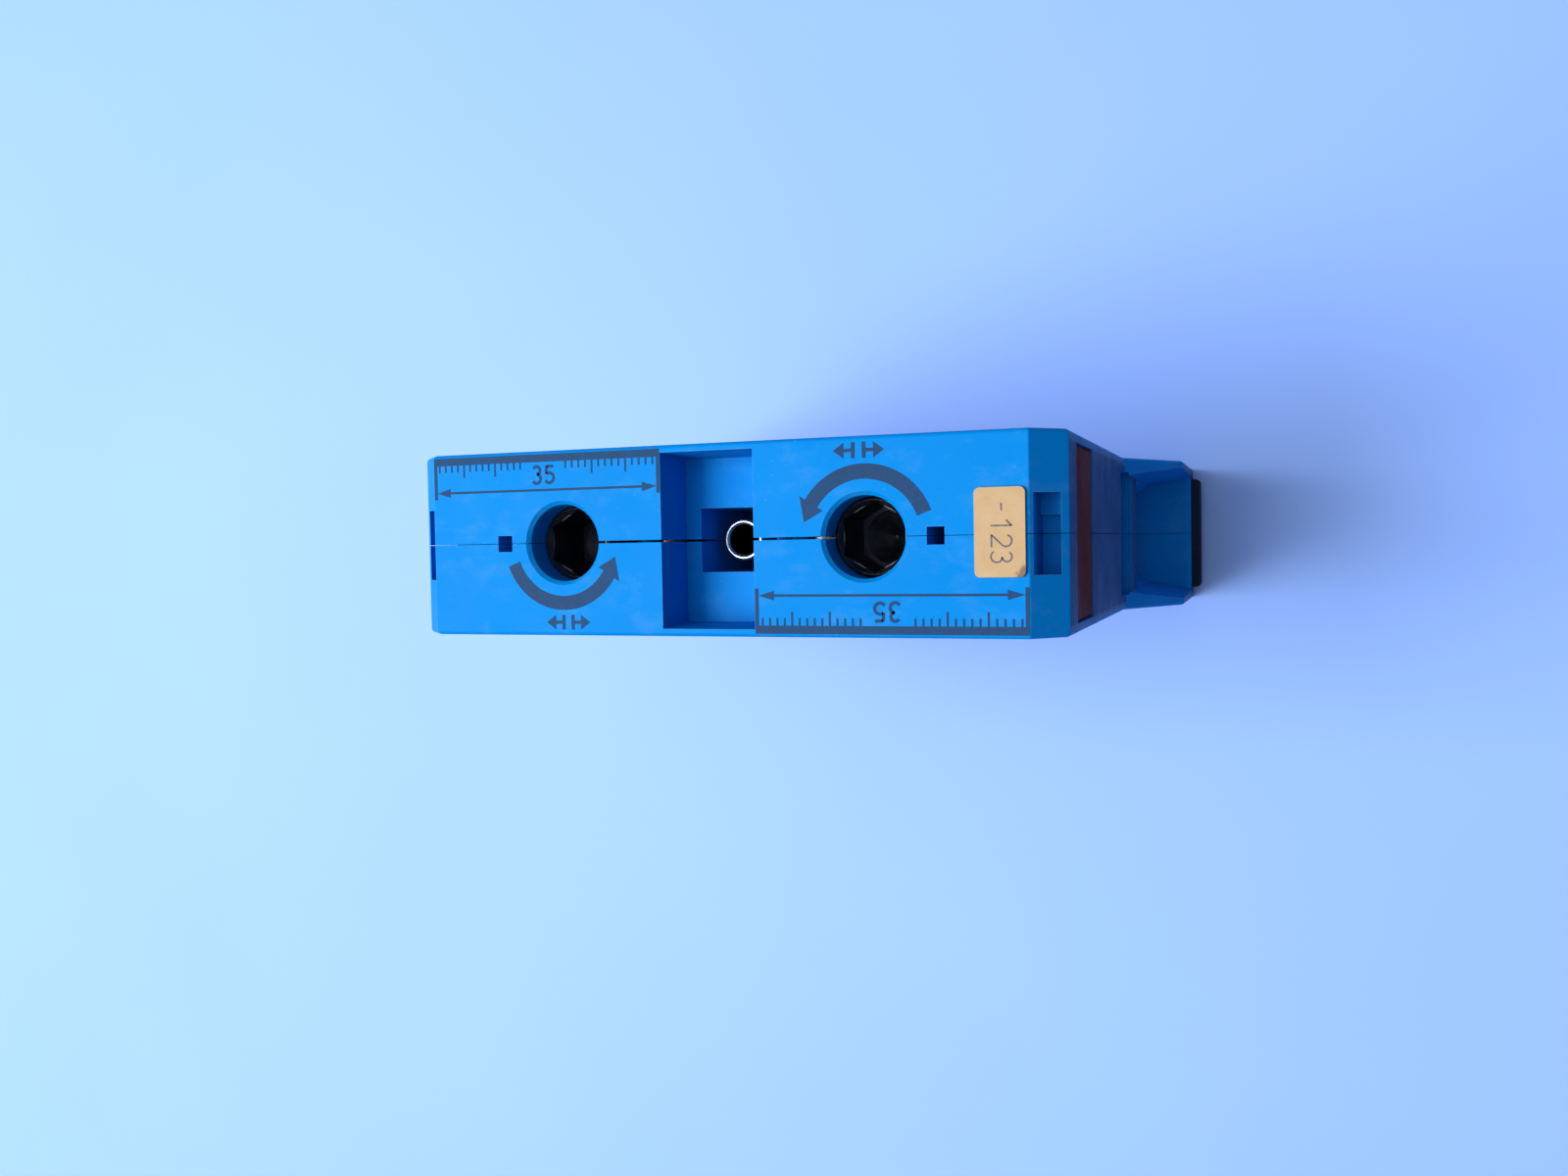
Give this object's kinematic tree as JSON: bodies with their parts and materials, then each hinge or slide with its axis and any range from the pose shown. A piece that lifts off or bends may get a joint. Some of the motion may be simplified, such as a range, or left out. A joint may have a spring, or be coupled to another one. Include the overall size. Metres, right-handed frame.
{
  "type": "din rail terminal block",
  "caption": "Tall high-current through terminal block for DIN rail, with hex-driven spring cage clamps, locking latches, a test socket and a sliding rail foot.",
  "frame": {"origin": "centre of the face that rests on the DIN rail's upper edge, on the seam between the two shells", "axes": "+Z away from the rail, through the top face; X from conductor to conductor, +X at the end with the rail slide and the marker tag; Y along the rail"},
  "size_m": [0.1092, 0.025, 0.112],
  "materials": {
    "housing": "moulded polyamide, fine texture",
    "tinned_copper": "tinned copper",
    "silvered_brass": "turned and silvered",
    "foot_black": "moulded",
    "spring_steel": "bright spring steel",
    "marker": "smooth",
    "zinc_steel": "zinc plated",
    "black_steel": "blackened steel, oiled",
    "brass": "machined",
    "pin_steel": "ground",
    "latch": "moulded"
  },
  "bodies": {
    "housing": {"housing_front_shell": "housing", "housing_rear_shell": "housing", "current_bar": "tinned_copper", "test_socket": "silvered_brass", "marker_tag": "marker", "foot_spring": "spring_steel", "support_frame_right": "zinc_steel", "thrust_washer_right": "zinc_steel", "clamp_spring_right": "spring_steel", "latch_spring_right": "spring_steel", "support_frame_left": "zinc_steel", "thrust_washer_left": "zinc_steel", "clamp_spring_left": "spring_steel", "latch_spring_left": "spring_steel"},
    "spindle_right": {"drive_spindle_right": "black_steel"},
    "carriage_right": {"cam_nut_right": "brass", "cam_pins_right": "pin_steel", "clamp_stirrup_right": "zinc_steel"},
    "latch_right": {"locking_latch_right": "latch"},
    "spindle_left": {"drive_spindle_left": "black_steel"},
    "carriage_left": {"cam_nut_left": "brass", "cam_pins_left": "pin_steel", "clamp_stirrup_left": "zinc_steel"},
    "latch_left": {"locking_latch_left": "latch"},
    "foot": {"foot_slide": "foot_black"}
  },
  "joints": [
    {"name": "spindle_turn_right", "type": "hinge", "parent": "housing", "child": "spindle_right", "pos_m": [0.0212, 0, 0.09], "axis": [0, 0, 1], "range_deg": [0, 120]},
    {"name": "clamp_travel_right", "type": "slide", "parent": "housing", "child": "carriage_right", "axis": [0, 0, -1], "range_m": [0, 0.0125], "stiffness_N_per_m": 300, "springref_m": -0.005, "deforming": ["clamp_spring_right"]},
    {"name": "latch_push_right", "type": "slide", "parent": "housing", "child": "latch_right", "axis": [-1, 0, 0], "range_m": [0, 0.0025], "stiffness_N_per_m": 500, "springref_m": -0.001, "deforming": ["latch_spring_right"]},
    {"name": "spindle_turn_left", "type": "hinge", "parent": "housing", "child": "spindle_left", "pos_m": [-0.0212, 0, 0.09], "axis": [0, 0, 1], "range_deg": [0, 120]},
    {"name": "clamp_travel_left", "type": "slide", "parent": "housing", "child": "carriage_left", "axis": [0, 0, -1], "range_m": [0, 0.0125], "stiffness_N_per_m": 300, "springref_m": -0.005, "deforming": ["clamp_spring_left"]},
    {"name": "latch_push_left", "type": "slide", "parent": "housing", "child": "latch_left", "axis": [1, 0, 0], "range_m": [0, 0.0025], "stiffness_N_per_m": 500, "springref_m": -0.001, "deforming": ["latch_spring_left"]},
    {"name": "foot_release", "type": "slide", "parent": "housing", "child": "foot", "axis": [1, 0, 0], "range_m": [0, 0.0022], "stiffness_N_per_m": 3000, "springref_m": -0.001, "deforming": ["foot_spring"]}
  ],
  "couplings": [
    {"joint": "spindle_turn_right", "follows": "clamp_travel_right", "rad_per_m": 167.55},
    {"joint": "spindle_turn_left", "follows": "clamp_travel_left", "rad_per_m": 167.55}
  ]
}
